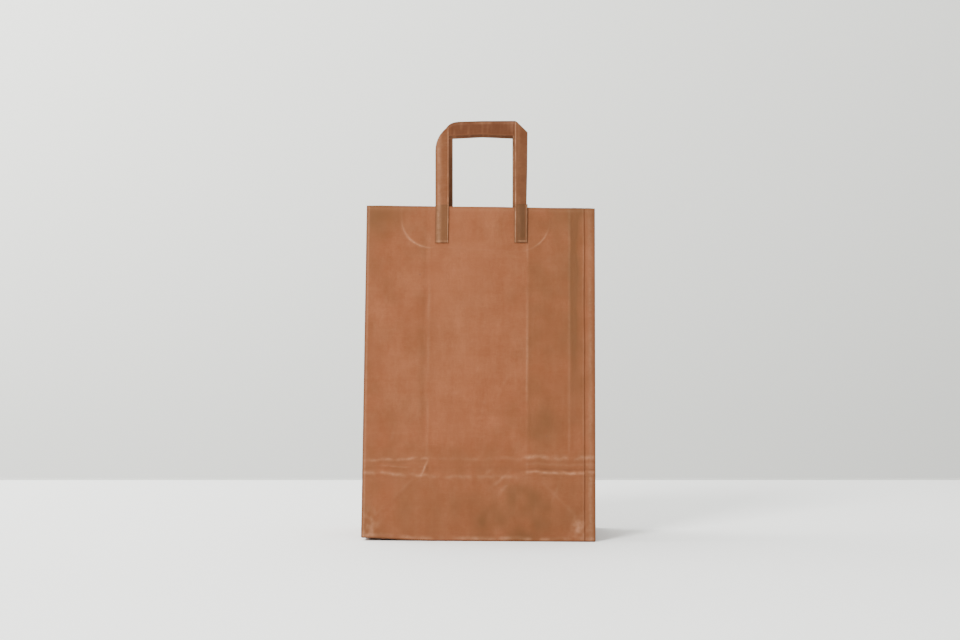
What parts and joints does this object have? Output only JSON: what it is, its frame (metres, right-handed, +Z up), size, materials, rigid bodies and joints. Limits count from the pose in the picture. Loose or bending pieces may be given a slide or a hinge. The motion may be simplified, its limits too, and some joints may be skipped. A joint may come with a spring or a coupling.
{
  "type": "paper carrier bag",
  "caption": "Brown kraft paper carrier bag standing on its block bottom, side gussets folded in, mouth nearly closed, with flat folded-paper handles that flop over.",
  "frame": {"origin": "centre of the underside of the base", "axes": "+Z up from the floor, +X across the front panel to the right as seen from the front, +Y from the front panel to the back panel"},
  "size_m": [0.26, 0.1398, 0.4713],
  "materials": {
    "kraft_paper": "matt brown kraft paper",
    "inner_paper": "matt brown kraft paper, second ply",
    "handle_paper": "matt brown kraft paper, folded strip"
  },
  "bodies": {
    "base": {"base_rear_flap": "inner_paper", "base_front_flap": "inner_paper", "base_tuck_left": "inner_paper", "base_tuck_right": "inner_paper", "gusset_left_base": "kraft_paper", "gusset_right_base": "kraft_paper"},
    "front_panel": {"front_panel_lower": "kraft_paper", "front_panel_upper": "kraft_paper", "seam_lap_lower": "inner_paper", "seam_lap_upper": "inner_paper", "front_handle_patch": "inner_paper", "front_handle_foot_left": "handle_paper", "front_handle_foot_right": "handle_paper", "gusset_left_front": "kraft_paper", "gusset_right_front": "kraft_paper"},
    "back_panel": {"back_panel": "kraft_paper", "rear_handle_patch": "inner_paper", "rear_handle_foot_left": "handle_paper", "rear_handle_foot_right": "handle_paper", "gusset_left_rear": "kraft_paper", "gusset_right_rear": "kraft_paper"},
    "front_handle": {"front_handle_loop": "handle_paper"},
    "rear_handle": {"rear_handle_loop": "handle_paper"}
  },
  "joints": [
    {"name": "mouth_open", "type": "hinge", "parent": "base", "child": "front_panel", "pos_m": [0, -0.07, 0], "axis": [1, 0, 0], "range_deg": [-1.2, 8.78], "deforming": ["gusset_left_front", "gusset_right_front"]},
    {"name": "back_panel_tilt", "type": "hinge", "parent": "base", "child": "back_panel", "pos_m": [0, 0.07, 0], "axis": [-1, 0, 0], "range_deg": [-1.2, 8.78], "deforming": ["gusset_left_rear", "gusset_right_rear"]},
    {"name": "front_handle_flop", "type": "hinge", "parent": "front_panel", "child": "front_handle", "pos_m": [0, -0.01353, 0.37578], "axis": [1, 0, 0], "range_deg": [0, 170]},
    {"name": "rear_handle_flop", "type": "hinge", "parent": "back_panel", "child": "rear_handle", "pos_m": [0, 0.01353, 0.37578], "axis": [-1, 0, 0], "range_deg": [0, 170]}
  ],
  "couplings": [
    {"joint": "back_panel_tilt", "follows": "mouth_open", "ratio": 1}
  ]
}
